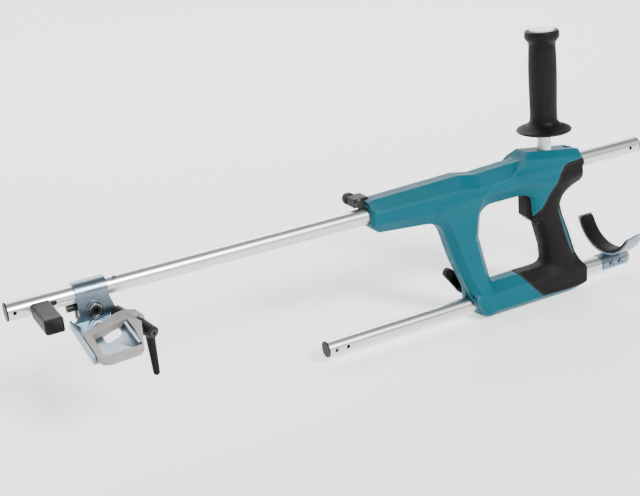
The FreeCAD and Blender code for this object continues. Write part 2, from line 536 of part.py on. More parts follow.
def make_bracket():
    wrap = ring(SADDLE_OUT, SADDLE_IN, V(SADDLE_FRONT, 0, 0), V(SADDLE_REAR, 0, 0))
    wrap = wrap.common(box(SADDLE_FRONT - 1, SADDLE_REAR + 1, -20, 20, 0, 20))
    far_leg = box(SADDLE_FRONT + 1, SADDLE_REAR, SADDLE_IN, SADDLE_OUT, LEG_BOTTOM, 0)
    near_outline = [(SADDLE_FRONT, 0.0), (SADDLE_REAR, 0.0), (SADDLE_REAR, -6.0), (-537.5, -27.0),
                    (-537.5, LEG_BOTTOM + 5), (-582.0, LEG_BOTTOM + 5), (SADDLE_FRONT, -21.0)]
    near_leg = polygon_face(near_outline).extrude(V(0, SHEET, 0))
    near_leg.translate(V(0, -SADDLE_OUT, 0))
    floor = tray_solid([(TRAY_FRONT + SHEET, 9.6), (TRAY_REAR, 9.6), (TRAY_REAR, TRAY_REACH - 3),
                        (TRAY_REAR - 3, TRAY_REACH), (TRAY_FRONT + SHEET, TRAY_REACH)], -SHEET, 0)
    front_flange = tray_solid([(TRAY_FRONT, 14), (TRAY_FRONT + SHEET, 14), (TRAY_FRONT + SHEET, TRAY_REACH),
                               (TRAY_FRONT, TRAY_REACH)], -SHEET, 6.0)
    rear_flange = tray_solid([(TRAY_REAR - SHEET, 42), (TRAY_REAR, 42), (TRAY_REAR, TRAY_REACH - 3),
                              (TRAY_REAR - SHEET, TRAY_REACH - 3)], -SHEET, 6.0)
    bracket = fuse([wrap, far_leg, near_leg, floor, front_flange, rear_flange])
    window = tray_solid([(-566.5, 46), (-547, 35), (-546.5, 48), (-551, 55), (-563, 61), (-566.5, 59)],
                        -5, 3, 2.0)
    bracket = bracket.cut(window)
    slot = obround(PINCH_X, PINCH_Z, SLOT_WIDE, SLOT_TALL, -20, 0)
    bracket = bracket.cut(slot)
    bracket = bracket.cut(along_y(3.1, 0, 20, PINCH_X, PINCH_Z))
    bracket = bracket.cut(rod(SPINDLE_R + 4.2, spindle_point(-4), spindle_point(12)))
    save("tool_bracket", bracket)

    under_tray = tray_solid([(-600, 0), (-500, 0), (-500, 90), (-600, 90)], -40, GAP)
    boss = obround(PINCH_X, PINCH_Z, SLOT_WIDE + 2 * SLOT_RIM, SLOT_TALL + 2 * SLOT_RIM,
                   -SADDLE_OUT - 1.4, -SADDLE_OUT)
    save("slot_washer", boss.cut(slot).cut(under_tray))
    slider = obround(PINCH_X, PINCH_Z, SLOT_WIDE - 1.4, SLOT_TALL - 1.4, -SADDLE_OUT - 2.0, -SADDLE_IN - 0.3)
    slider = slider.cut(along_y(PINCH_HEAD_R + GAP, -20, -SADDLE_IN - 1.5, PINCH_X, PINCH_Z))
    save("pinch_slider", slider.cut(along_y(3.1, -20, 0, PINCH_X, PINCH_Z)))
    shank = along_y(3.0, -SADDLE_IN - 1.5, SADDLE_OUT + 6.5, PINCH_X, PINCH_Z)
    head = along_y(PINCH_HEAD_R, -SADDLE_OUT - 2.4, -SADDLE_IN - 1.5, PINCH_X, PINCH_Z)
    socket = hexagon(5.0, V(PINCH_X, -SADDLE_OUT - 4, PINCH_Z), V(PINCH_X, -SADDLE_OUT + 0.4, PINCH_Z))
    save("pinch_bolt", fuse([shank, head]).cut(socket))
    nut = hexagon(10.0, V(PINCH_X, SADDLE_OUT + 0.1, PINCH_Z), V(PINCH_X, SADDLE_OUT + 5.1, PINCH_Z))
    save("pinch_nut", nut.cut(along_y(3.02, 0, 30, PINCH_X, PINCH_Z)))

    block = box(SADDLE_FRONT + 2, SADDLE_REAR - 2, -SADDLE_IN + 0.4, SADDLE_IN - 0.1,
                LEG_BOTTOM + 1, -TUBE_R + 1)
    block = block.cut(along_x(TUBE_R + 0.4, SADDLE_FRONT, SADDLE_REAR))
    block = block.cut(along_y(3.1, -20, 20, PINCH_X, PINCH_Z))
    block = block.cut(along_y(4.5, -20, -SADDLE_IN + 1.0, PINCH_X, PINCH_Z))
    block = block.cut(along_x(2.05, SADDLE_FRONT - 1, SADDLE_FRONT + 10, BLOCK_SCREW_Y, BLOCK_SCREW_Z))
    save("clamp_block", block.cut(under_tray))
    screw = fuse([along_x(2.0, SADDLE_FRONT + 1.9, SADDLE_FRONT + 9.5, BLOCK_SCREW_Y, BLOCK_SCREW_Z),
                  along_x(4.0, SADDLE_FRONT - 8.5, SADDLE_FRONT + 1.9, BLOCK_SCREW_Y, BLOCK_SCREW_Z)])
    save("block_screw", screw.cut(hexagon(3.4, V(SADDLE_FRONT - 9, BLOCK_SCREW_Y, BLOCK_SCREW_Z),
                                          V(SADDLE_FRONT - 5, BLOCK_SCREW_Y, BLOCK_SCREW_Z))))


RING_LOW, RING_HIGH = 0.3, 6.8


def make_clamp():
    outer = [(-584.6, 44), (-572, 38), (-544, 22.5), (-534, 20.5), (-524.5, 26), (-521, 42), (-526.5, 48),
             (-539.5, 90), (-545, 96), (-574, 98.5), (-581, 96), (-584.6, 88)]
    inner = [(-577, 50), (-538, 38), (-537.6, 60), (-540.5, 89), (-575, 90.5), (-578.5, 87)]
    frame = tray_solid(outer, RING_LOW, RING_HIGH, 1.5)
    frame = frame.cut(tray_solid(inner, RING_LOW - 1, RING_HIGH + 1, 1.2))
    lug = rod(9.0, spindle_point(22), spindle_point(34))
    over_tray = tray_solid([(-545, 0), (-500, 0), (-500, 90), (-545, 90)], -30, 30)
    under = tray_solid([(-560, 0), (TRAY_REAR + 1.0, 0), (TRAY_REAR + 1.0, 120), (-560, 120)], -30, RING_LOW)
    frame = fuse([frame, lug.common(over_tray)]).cut(under)
    frame = frame.cut(rod(SPINDLE_R + 0.35, spindle_point(-10), spindle_point(70)))
    frame = frame.cut(rod(8.0, spindle_point(34.4), spindle_point(80)))
    save("clamp_frame", frame)

    anchor = rod(7.0, spindle_point(0), spindle_point(12))
    anchor = anchor.cut(rod(SPINDLE_R + 0.02, spindle_point(-10), spindle_point(70)))
    save("spindle_nut", anchor)
    save("clamp_spindle", rod(SPINDLE_R, spindle_point(-3), spindle_point(50)))

    hub = Part.makeCone(7.6, 6.2, 24, spindle_point(34.7), SPINDLE_DIR)
    arm_root = spindle_point(52)
    drop = V(0.05, 0.10, -0.99).normalize()
    arm = Part.makeCone(4.8, 3.4, 48, arm_root, drop)
    tip = Part.makeSphere(3.4, arm_root + drop * 48)
    bore = rod(SPINDLE_R + FIT, spindle_point(30), spindle_point(53))
    pocket = rod(4.4, spindle_point(57.5), spindle_point(62))
    save("clamp_lever", fuse([hub, arm, tip]).cut(bore).cut(pocket))
    screw = rod(4.3, spindle_point(57.6), spindle_point(59.6))
    cross = hexagon(3.0, spindle_point(58.6), spindle_point(60))
    save("lever_screw", screw.cut(cross))


# ---------------------------------------------------------------- arm rest
ARM_SCREW_R = 2.2
CLIP_T = 1.8


def arc_strap(outer_r, thickness, near_deg, far_deg, x0, width):
    """Part of a ring about the cradle's axis; angles are measured from straight down."""
    centre = cradle_centre()
    full = ring(outer_r, outer_r - thickness, V(x0, 0, centre), V(x0 + width, 0, centre))
    far = 2 * outer_r
    near, away = math.radians(near_deg), math.radians(far_deg)
    middle = (away - near) / 2
    wedge = [(0, centre), (-far * math.sin(near), centre - far * math.cos(near)),
             (-far * math.sin(near / 2), centre - far * 1.2), (far * math.sin(middle), centre - far * 1.2),
             (far * math.sin(away / 1.6), centre - far * math.cos(away / 1.6)),
             (far * math.sin(away), centre - far * math.cos(away))]
    sector = polygon_face(wedge, "yz").extrude(V(width + 2, 0, 0))
    sector.translate(V(x0 - 1, 0, 0))
    return full.common(sector)


def cradle_centre():
    return LOW_Z + TUBE_R + FIT + CLIP_T + 0.02 + CRADLE_R


NEAR_ANGLE, FAR_ANGLE = 68.0, 76.0
LIP_LENGTH = 19.0


def lip(radius, thickness, x0, width):
    """Flared end of the near arm: a plate that leaves the arc outwards at 35 degrees."""
    a = math.radians(NEAR_ANGLE)
    start = V(x0, -radius * math.sin(a), cradle_centre() - radius * math.cos(a))
    out = V(0, -math.cos(math.radians(35)), math.sin(math.radians(35)))
    normal = V(0, out.z, -out.y)
    corners = [start + normal * thickness * 0.2, start + out * LIP_LENGTH + normal * thickness * 0.2,
               start + out * LIP_LENGTH - normal * thickness * 0.8, start - normal * thickness * 0.8]
    return Part.Face(Part.makePolygon(corners + corners[:1])).extrude(V(width, 0, 0))


def make_arm_rest():
    clip_r = TUBE_R + FIT + CLIP_T
    clip = ring(clip_r, TUBE_R + FIT, V(80, 0, LOW_Z), V(118, 0, LOW_Z))
    clip = clip.common(box(79, 119, -20, 20, LOW_Z - 6.5, LOW_Z + 20))
    strap_inner = CRADLE_R - STRAP_THICKNESS
    strap = arc_strap(CRADLE_R, STRAP_THICKNESS, NEAR_ANGLE, FAR_ANGLE, CRADLE_X, CRADLE_WIDTH)
    strap = fuse([strap, lip(CRADLE_R - STRAP_THICKNESS / 2, STRAP_THICKNESS, CRADLE_X, CRADLE_WIDTH)])
    pad = arc_strap(strap_inner - LAP, PAD_THICKNESS, NEAR_ANGLE - 4, FAR_ANGLE, CRADLE_X, CRADLE_WIDTH)
    rivet_x = CRADLE_X + CRADLE_WIDTH / 2
    hole = rod(2.3, V(rivet_x, 0, LOW_Z + TUBE_R - 2), V(rivet_x, 0, LOW_Z + TUBE_R + 10))
    for x in ARM_SCREW_X:
        clip = clip.cut(along_y(ARM_SCREW_R, -20, 20, x, LOW_Z))
    save("arm_clip", clip.cut(hole))
    save("arm_strap", strap.cut(hole))
    save("arm_pad", pad)
    base = LOW_Z + TUBE_R + FIT
    rivet = rod(2.25, V(rivet_x, 0, base), V(rivet_x, 0, base + CLIP_T + STRAP_THICKNESS))
    save("strap_rivet", rivet)
    screws = []
    for x in ARM_SCREW_X:
        shank = along_y(2.0, -clip_r - 0.1, clip_r + 0.1, x, LOW_Z)
        heads = [along_y(3.4, -clip_r - 2.3, -clip_r - 0.1, x, LOW_Z),
                 along_y(3.4, clip_r + 0.1, clip_r + 2.3, x, LOW_Z)]
        screws.append(fuse([shank] + heads).cut(hexagon(2.5, V(x, -clip_r - 3, LOW_Z),
                                                         V(x, -clip_r - 1.2, LOW_Z))))
    save("arm_screws", *screws)


make_tubes()
make_caps()
make_housing()
make_bushes()
make_locks()
make_trigger()
make_pull_train()
make_side_grip()
make_bracket()
make_clamp()
make_arm_rest()
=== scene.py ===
"""Looks of a two-tube extension handle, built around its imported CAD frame.

+X runs to the rear, -Y is the side the tool hangs on, +Z is up.  The frame is in metres; the shape
functions below work in millimetres and are scaled once, when a mesh is made.
"""

import json
import logging
import math
from dataclasses import dataclass, field
from enum import Enum
from typing import Callable, Optional

import bmesh
import bpy
import numpy as np
from mathutils import Matrix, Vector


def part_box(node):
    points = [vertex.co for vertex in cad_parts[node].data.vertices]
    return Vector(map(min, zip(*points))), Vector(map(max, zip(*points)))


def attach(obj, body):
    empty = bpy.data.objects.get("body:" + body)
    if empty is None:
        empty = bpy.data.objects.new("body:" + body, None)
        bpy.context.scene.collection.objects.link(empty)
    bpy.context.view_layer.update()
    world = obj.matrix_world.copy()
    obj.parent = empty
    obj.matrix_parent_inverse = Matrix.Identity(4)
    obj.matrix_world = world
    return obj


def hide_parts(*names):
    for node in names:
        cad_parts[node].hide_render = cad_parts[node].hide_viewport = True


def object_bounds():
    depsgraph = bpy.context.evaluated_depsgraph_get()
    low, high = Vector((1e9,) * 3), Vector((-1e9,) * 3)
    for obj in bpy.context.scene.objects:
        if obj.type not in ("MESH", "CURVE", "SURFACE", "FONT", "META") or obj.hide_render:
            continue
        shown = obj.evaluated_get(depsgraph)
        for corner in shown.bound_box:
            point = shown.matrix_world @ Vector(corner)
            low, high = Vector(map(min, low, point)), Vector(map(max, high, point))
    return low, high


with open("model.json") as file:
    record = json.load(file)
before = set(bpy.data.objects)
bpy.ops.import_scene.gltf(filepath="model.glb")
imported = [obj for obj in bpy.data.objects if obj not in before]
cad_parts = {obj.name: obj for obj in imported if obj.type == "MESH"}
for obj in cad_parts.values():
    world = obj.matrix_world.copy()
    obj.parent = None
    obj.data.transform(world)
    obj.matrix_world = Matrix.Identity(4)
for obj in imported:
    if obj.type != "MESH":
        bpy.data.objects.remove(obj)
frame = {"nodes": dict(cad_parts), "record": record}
CAD_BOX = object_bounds()

LOG = logging.getLogger("extension_handle")
MM = 0.001
Array = np.ndarray
Field = Callable[[Array, Array, Array], Array]


# ------------------------------------------------------------------ sizes taken from the frame
def node_box(name: str) -> tuple[Array, Array]:
    """Lowest and highest corner of a CAD node, in millimetres.

    Args:
        name: The CAD node.

    Returns:
        The two corners as arrays of three.
    """
    low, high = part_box(name)
    return np.array(low) / MM, np.array(high) / MM


TUBE_RADIUS = (node_box("upper_tube")[1][2] - node_box("upper_tube")[0][2]) / 2
LOWER_AXIS = float((node_box("lower_tube")[1][2] + node_box("lower_tube")[0][2]) / 2)
NOSE = float(node_box("housing_left")[0][0])
TAIL = float(node_box("upper_rear_bush")[1][0]) + 1.0


# ------------------------------------------------------------------ distance functions (mm)
def smooth_max(a: Array, b: Array, k: float) -> Array:
    """The larger of two distances, with their meeting edge rounded over about k.

    Args:
        a: First distance.
        b: Second distance.
        k: Width of the rounding.

    Returns:
        max(a, b) plus k/4 times the squared overlap, which is 1 where a equals b and 0 beyond k.
    """
    h = np.maximum(k - np.abs(a - b), 0.0) / k
    return np.maximum(a, b) + h * h * k * 0.25


def smooth_min(a: Array, b: Array, k: float) -> Array:
    """The smaller of two distances, with a fillet of about k where they meet."""
    return -smooth_max(-a, -b, k)


def blend_max(k: float, *distances: Array) -> Array:
    """Intersection of several half spaces with edges rounded over k."""
    out = distances[0]
    for distance in distances[1:]:
        out = smooth_max(out, distance, k)
    return out


def soft_curve(points: list[tuple[float, float]], soft: float) -> Callable[[Array], Array]:
    """A curve through given points: straight between them, then averaged over a soft window.

    Args:
        points: (position, value) pairs in rising order of position.
        soft: Half width of the averaging window in millimetres.

    Returns:
        A function of position.
    """
    at, value = np.array(points, float).T
    fine = np.arange(at[0] - 3 * soft, at[-1] + 3 * soft, 0.5)
    raw = np.interp(fine, at, value)
    window = np.hanning(max(3, int(4 * soft)))
    padded = np.pad(raw, len(window), mode="edge")
    smooth = np.convolve(padded, window / window.sum(), mode="same")[len(window):-len(window)]
    return lambda x: np.interp(x, fine, smooth)


def polygon_distance(x: Array, z: Array, corners: list[tuple[float, float]]) -> Array:
    """Signed distance to a closed outline in the XZ plane, negative inside.

    The distance is the least over the edges of the distance to that edge; its sign flips each time a
    ray towards +X crosses an edge.
    """
    distance = np.full(np.broadcast(x, z).shape, 1e9)
    inside = np.zeros(distance.shape, bool)
    for (ax, az), (bx, bz) in zip(corners, corners[1:] + corners[:1]):
        ex, ez = bx - ax, bz - az
        t = np.clip(((x - ax) * ex + (z - az) * ez) / (ex * ex + ez * ez), 0, 1)
        distance = np.minimum(distance, np.hypot(x - ax - t * ex, z - az - t * ez))
        if az != bz:
            crosses = ((az > z) != (bz > z)) & (x < ex * (z - az) / ez + ax)
            inside ^= crosses
    return np.where(inside, -distance, distance)


# ------------------------------------------------------------------ meshes
def make_object(name: str, vertices: Array, faces: Array, smooth: bool = True,
                sharp_angle: Optional[float] = None) -> bpy.types.Object:
    """A mesh object from arrays in millimetres, at the origin, unturned and unscaled.

    Args:
        name: Name of the object and its mesh.
        vertices: Rows of x, y, z in millimetres.
        faces: Rows of three or four vertex indices.
        smooth: Whether the faces are shaded smooth.
        sharp_angle: Angle in degrees past which an edge is shaded sharp.

    Returns:
        The new object, linked to the scene.
    """
    mesh = bpy.data.meshes.new(name)
    sides = faces.shape[1]
    mesh.vertices.add(len(vertices))
    mesh.vertices.foreach_set("co", (vertices * MM).astype(np.float32).ravel())
    mesh.loops.add(faces.size)
    mesh.loops.foreach_set("vertex_index", faces.astype(np.int32).ravel())
    mesh.polygons.add(len(faces))
    mesh.polygons.foreach_set("loop_start", np.arange(0, faces.size, sides, dtype=np.int32))
    mesh.update(calc_edges=True)
    mesh.validate()
    mesh.polygons.foreach_set("use_smooth", np.full(len(mesh.polygons), smooth))
    if sharp_angle is not None:
        mesh.set_sharp_from_angle(angle=math.radians(sharp_angle))
    obj = bpy.data.objects.new(name, mesh)
    bpy.context.scene.collection.objects.link(obj)
    return obj


def grid_faces(rows: int, columns: int, wrap: bool) -> Array:
    """Quads of a grid whose vertices run along columns first; wrap closes each row on itself."""
    last = columns if wrap else columns - 1
    r, c = np.meshgrid(np.arange(rows - 1), np.arange(last), indexing="ij")
    following = (c + 1) % columns
    return np.stack([r * columns + c, r * columns + following, (r + 1) * columns + following,
                     (r + 1) * columns + c], -1).reshape(-1, 4)


def surface_nets(field_at: Field, low: Array, high: Array, step: float,
                 settle: int = 5) -> tuple[Array, Array]:
    """The closed surface where a distance function is zero.

    One vertex stands in each cell that the surface crosses, at the mean of its edge crossings, and one
    quad joins the four cells round each grid edge whose ends lie on opposite sides.  The vertices then
    step along the gradient by their own distance, so they lie on the surface.

    Args:
        field_at: Signed distance, negative inside, of arrays x, y, z in millimetres.
        low: Lowest corner of the searched box.
        high: Highest corner of the searched box.
        step: Size of a cell.
        settle: How many times the vertices step onto the surface.

    Returns:
        Vertices and quads.
    """
    axes = [np.arange(a, b + step, step) for a, b in zip(low, high)]
    x, y, z = np.meshgrid(*axes, indexing="ij")
    values = field_at(x, y, z)
    for axis in range(3):
        edge = np.moveaxis(values, axis, 0)
        edge[0], edge[-1] = np.maximum(edge[0], step), np.maximum(edge[-1], step)
    counts = np.array(values.shape) - 1
    total = np.zeros(tuple(counts) + (3,))
    hits = np.zeros(tuple(counts))
    inside = values < 0
    for axis in range(3):
        a = np.moveaxis(values, axis, 0)[:-1]
        b = np.moveaxis(values, axis, 0)[1:]
        crossing = (a < 0) != (b < 0)
        share = np.where(crossing, a / np.where(crossing, a - b, 1.0), 0.0)
        crossing, share = np.moveaxis(crossing, 0, axis), np.moveaxis(share, 0, axis)
        others = [k for k in range(3) if k != axis]
        for da in (0, 1):
            for db in (0, 1):
                window = [slice(None)] * 3
                window[others[0]] = slice(da, da + counts[others[0]])
                window[others[1]] = slice(db, db + counts[others[1]])
                hit = crossing[tuple(window)]
                hits += hit
                total[..., axis] += np.where(hit, share[tuple(window)], 0.0)
                total[..., others[0]] += hit * da
                total[..., others[1]] += hit * db
    used = hits > 0
    index = np.full(used.shape, -1)
    index[used] = np.arange(used.sum())
    cells = np.stack(np.nonzero(used), -1)
    points = np.array(low) + step * (cells + total[used] / hits[used][:, None])
    quads = []
    for axis in range(3):
        u, v = (axis + 1) % 3, (axis + 2) % 3
        first = np.take(inside, range(counts[axis]), axis)
        second = np.take(inside, range(1, counts[axis] + 1), axis)
        changed = np.stack(np.nonzero(first != second), -1)
        changed = changed[(changed[:, u] > 0) & (changed[:, v] > 0)
                          & (changed[:, u] < counts[u]) & (changed[:, v] < counts[v])]
        around = []
        for du, dv in ((1, 1), (0, 1), (0, 0), (1, 0)):
            cell = changed.copy()
            cell[:, u] -= du
            cell[:, v] -= dv
            around.append(index[tuple(cell.T)])
        quad = np.stack(around, -1)
        outward = first[tuple(changed.T)]
        quads.append(np.where(outward[:, None], quad, quad[:, ::-1]))
    faces = np.concatenate(quads)
    for _ in range(settle):
        here = field_at(*points.T)
        slope = np.stack([(field_at(*(points + offset).T) - field_at(*(points - offset).T)) / 0.2
                          for offset in 0.1 * np.eye(3)], -1)
        length = np.maximum((slope ** 2).sum(-1), 0.25)
        move = np.clip(here / length, -0.4 * step, 0.4 * step)
        points = points - slope * move[:, None]
    return points, faces


def turned(profile: Array, sides: int, centre: Array,
           radius_at: Optional[Callable] = None) -> tuple[Array, Array]:
    """A profile of (radius, height) carried round a vertical axis, with its poles closed.

    Args:
        profile: Rows of radius and height from one end of the axis to the other.
        sides: Steps round the axis.
        centre: Foot of the axis.
        radius_at: Optional extra radius and height as a function of angle, radius and height.

    Returns:
        Vertices and triangles or quads.
    """
    angle = np.linspace(0, 2 * np.pi, sides, endpoint=False)
    r, a = np.meshgrid(profile[:, 0], angle, indexing="ij")
    h = np.broadcast_to(profile[:, 1][:, None], r.shape).copy()
    if radius_at is not None:
        dr, dh = radius_at(a, r, h)
        r, h = r + dr, h + dh
    points = np.stack([r * np.cos(a), r * np.sin(a), h], -1).reshape(-1, 3) + centre
    return points, grid_faces(len(profile), sides, True)


# ------------------------------------------------------------------ materials
def linear(code: str) -> tuple[float, float, float, float]:
    """An sRGB hex colour as linear red, green, blue and full alpha."""
    parts = np.array([int(code[i:i + 2], 16) / 255 for i in (1, 3, 5)])
    values = np.where(parts <= 0.04045, parts / 12.92, ((parts + 0.055) / 1.055) ** 2.4)
    return (*map(float, values), 1.0)


def add(tree: bpy.types.NodeTree, kind: str, settings: Optional[dict] = None,
        links: Optional[dict] = None) -> bpy.types.Node:
    """Adds one shader node.

    Args:
        tree: The node tree.
        kind: The node's type name without "ShaderNode".
        settings: Attributes, or input sockets by name or index, and their values.
        links: Input socket to the output socket that feeds it.

    Returns:
        The new node.
    """
    node = tree.nodes.new("ShaderNode" + kind)
    for key, value in (settings or {}).items():
        if isinstance(key, str) and hasattr(node, key):
            setattr(node, key, value)
        else:
            node.inputs[key].default_value = value
    for key, source in (links or {}).items():
        tree.links.new(source, node.inputs[key])
    return node


class Texture(Enum):
    """How a surface was made, which decides its fine pattern."""

    SPARK = "spark-eroded mould grain"
    DRAWN = "drawn along X and anodised"
    PLATED = "zinc plated sheet"
    CAST = "die cast, shot blasted"
    TURNED = "turned and polished"
    FOAM = "foam with a knitted face"
    SOFT = "soft rubber"


# Slow shifts in tone and gloss repeat about every 36 mm; convex edges are painted about a fifth paler, a
# painted highlight along the creases.
BROAD_SCALE = 28.0
EDGE_HIGHLIGHT_PAINT = 0.22


@dataclass(frozen=True)
class Finish:
    """One real material: its colours, gloss and the scale of its surface pattern."""

    name: str
    colour: str
    shade: str
    texture: Texture
    roughness: float
    metallic: float = 0.0
    grain: float = 0.5
    bump: float = 0.02
    ior: float = 1.5
    coat: float = 0.0
    sheen: float = 0.0
    specular: float = 0.5

    def coordinates(self, tree: bpy.types.NodeTree) -> bpy.types.NodeSocket:
        """Object coordinates, stretched along X where the surface was drawn that way."""
        where = add(tree, "TexCoord").outputs["Object"]
        if self.texture is Texture.DRAWN:
            stretch = add(tree, "Mapping", {"Scale": (0.02, 1.0, 1.0)}, {"Vector": where})
            return stretch.outputs["Vector"]
        return where

    def pattern(self, tree: bpy.types.NodeTree, where: bpy.types.NodeSocket) -> bpy.types.NodeSocket:
        """The fine pattern as a value from 0 to 1, its cell size equal to the grain in millimetres."""
        scale = 1.0 / (self.grain * MM)
        if self.texture in (Texture.SPARK, Texture.CAST, Texture.SOFT):
            cells = add(tree, "TexVoronoi", {"feature": "SMOOTH_F1", "Scale": scale, "Smoothness": 0.6},
                        {"Vector": where})
            return cells.outputs["Distance"]
        if self.texture is Texture.PLATED:
            cells = add(tree, "TexVoronoi", {"feature": "F1", "Scale": scale}, {"Vector": where})
            grey = add(tree, "RGBToBW", {}, {"Color": cells.outputs["Color"]})
            return grey.outputs["Val"]
        if self.texture is Texture.FOAM:
            waves = []
            for direction in ("X", "Z"):
                wave = add(tree, "TexWave", {"wave_type": "BANDS", "bands_direction": direction,
                                             "Scale": scale * 0.16, "Distortion": 1.2, "Detail": 1.0},
                           {"Vector": where})
                waves.append(wave.outputs["Fac"])
            knit = add(tree, "Math", {"operation": "MULTIPLY"}, {0: waves[0], 1: waves[1]})
            return knit.outputs["Value"]
        noise = add(tree, "TexNoise", {"Scale": scale, "Detail": 3.0}, {"Vector": where})
        return noise.outputs["Fac"]

    def build(self) -> bpy.types.Material:
        """Makes the node material.

        Returns:
            The material, named for what the surface really is.
        """
        material = bpy.data.materials.new(self.name)
        material.use_nodes = True
        tree = material.node_tree
        tree.nodes.clear()
        where = self.coordinates(tree)
        fine = self.pattern(tree, where)
        broad = add(tree, "TexNoise", {"Scale": BROAD_SCALE, "Detail": 4.0, "Roughness": 0.6},
                    {"Vector": where}).outputs["Fac"]
        mixed = add(tree, "Math", {"operation": "MULTIPLY_ADD", 1: 0.35}, {0: fine, 2: broad})
        ramp = add(tree, "ValToRGB", {}, {"Fac": mixed.outputs["Value"]})
        stops = ramp.color_ramp.elements
        stops[0].position, stops[0].color = 0.30, linear(self.shade)
        stops[1].position, stops[1].color = 0.80, linear(self.colour)
        # Painted highlight: convex edges, found by pointiness, are screened paler towards light grey.
        edge = add(tree, "NewGeometry").outputs["Pointiness"]
        painted_edge_highlight = add(tree, "MapRange", {"From Min": 0.505, "From Max": 0.56, "To Min": 0.0, "To Max": EDGE_HIGHLIGHT_PAINT},
                   {"Value": edge})
        light = add(tree, "MixRGB", {"blend_type": "SCREEN", "Color2": (0.12, 0.12, 0.12, 1.0)},
                    {"Fac": painted_edge_highlight.outputs["Result"], "Color1": ramp.outputs["Color"]})
        gloss = add(tree, "MapRange", {"From Min": 0.25, "From Max": 0.75,
                                       "To Min": max(0.05, self.roughness - 0.07),
                                       "To Max": min(1.0, self.roughness + 0.07)}, {"Value": broad})
        relief = add(tree, "Bump", {"Strength": 0.6, "Distance": self.bump * MM}, {"Height": fine})
        shader = add(tree, "BsdfPrincipled", {"Metallic": self.metallic, "IOR": self.ior,
                                              "Coat Weight": self.coat, "Coat Roughness": 0.25,
                                              "Sheen Weight": self.sheen,
                                              "Specular IOR Level": self.specular},
                     {"Base Color": light.outputs["Color"], "Roughness": gloss.outputs["Result"],
                      "Normal": relief.outputs["Normal"]})
        add(tree, "OutputMaterial", {}, {"Surface": shader.outputs["BSDF"]})
        return material


# Glass-filled nylon, spark-eroded mould: an even satin teal with a very fine grain.
TEAL_NYLON = Finish("moulded_nylon_teal", "#00505E", "#004753", Texture.SPARK, 0.42, 0.0, 0.45, 0.018,
                    specular=0.11)
# Thermoplastic elastomer overmould: warm charcoal, matt, slightly greasy highlight.
OVERMOULD = Finish("elastomer_overmould_charcoal", "#0D0A0A", "#0A0808", Texture.SOFT, 0.60, 0.0, 0.7, 0.035,
                   specular=0.14)
# Anodised aluminium tube: bright satin, streaked along its length by drawing.
ANODISED = Finish("anodised_aluminium_tube", "#D2D1D2", "#BEBDBF", Texture.DRAWN, 0.30, 1.0, 0.35, 0.006)
# Black glass-filled nylon for levers, caps and the trigger.
BLACK_NYLON = Finish("moulded_nylon_black", "#050404", "#030303", Texture.SPARK, 0.45, 0.0, 0.5, 0.02,
                     specular=0.08)
# Natural acetal: slightly warm white, waxy.
ACETAL = Finish("acetal_natural", "#F6F4F4", "#EFECEC", Texture.SPARK, 0.33, 0.0, 0.6, 0.008)
# Soft PVC grip sleeve: black with a dusty satin face.
GRIP_VINYL = Finish("soft_vinyl_black", "#080808", "#060606", Texture.SOFT, 0.50, 0.0, 0.9, 0.03,
                    specular=0.14)
# Zinc-plated sheet steel with a clear bluish passivation.
ZINC = Finish("zinc_plated_steel", "#6F808B", "#667782", Texture.PLATED, 0.34, 1.0, 1.6, 0.002)
# Plain turned steel, lightly oiled.
BRIGHT = Finish("turned_steel", "#B5B6B8", "#9C9DA0", Texture.TURNED, 0.24, 1.0, 0.4, 0.006)
# Black oxide on steel: dark brown-black with a dull shine.
OXIDE = Finish("black_oxide_steel", "#0C0B0A", "#080707", Texture.TURNED, 0.40, 0.3, 0.5, 0.01,
               specular=0.2)
# Die-cast aluminium, shot blasted: warm light grey, soft grain.
CAST = Finish("die_cast_aluminium", "#87837F", "#74706D", Texture.CAST, 0.50, 0.35, 0.8, 0.05)
# Die-cast finger, dark powder coat.
DARK_CAST = Finish("powder_coat_charcoal", "#0C0B0B", "#080707", Texture.CAST, 0.46, 0.0, 0.7, 0.05,
                   specular=0.10)
# Turned brass insert.
BRASS = Finish("turned_brass", "#C8A15A", "#B08A48", Texture.TURNED, 0.26, 1.0, 0.4, 0.006)
# Closed-cell foam faced with knitted nylon.
FOAM = Finish("foam_knitted_face_black", "#0B0A0A", "#060505", Texture.FOAM, 0.92, 0.0, 1.1, 0.25,
              sheen=0.12, specular=0.12)
# Steel strap, blue-grey baked enamel.
ENAMEL = Finish("baked_enamel_blue_grey", "#76879A", "#68798B", Texture.SPARK, 0.36, 0.2, 0.6, 0.01)

SLOT_FINISHES = {
    "teal_plastic": TEAL_NYLON, "grip_rubber": OVERMOULD, "tube_aluminium": ANODISED,
    "black_plastic": BLACK_NYLON, "white_plastic": ACETAL, "grip_black": GRIP_VINYL, "zinc_steel": ZINC,
    "bright_steel": BRIGHT, "black_steel": OXIDE, "cast_alloy": CAST, "finger_cast": DARK_CAST,
    "brass": BRASS, "foam": FOAM, "strap_steel": ENAMEL,
}


class Paintshop:
    """Builds each finish once and puts it on pieces."""

    def __init__(self) -> None:
        """Starts with no material built."""
        self.built: dict[str, bpy.types.Material] = {}

    def coat(self, obj: bpy.types.Object, finish: Finish) -> None:
        """Gives every material slot of an object one finish."""
        if finish.name not in self.built:
            self.built[finish.name] = finish.build()
        material = self.built[finish.name]
        if not obj.data.materials:
            obj.data.materials.append(material)
        for place in range(len(obj.data.materials)):
            obj.data.materials[place] = material

    def dress_frame(self) -> int:
        """Gives each CAD node the finish of its slot in the record.

        Returns:
            How many nodes were dressed.
        """
        slots = {part["node"]: part["material_slot"] for part in frame["record"]["subparts"]}
        for name, obj in frame["nodes"].items():
            self.coat(obj, SLOT_FINISHES[slots[name]])
        return len(slots)


def place(obj: bpy.types.Object, body: str, slot: str, *nodes: str) -> None:
    """Rides a new piece on a body and hides the CAD nodes that it stands for."""
    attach(obj, body)
    if nodes:
        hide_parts(*nodes)


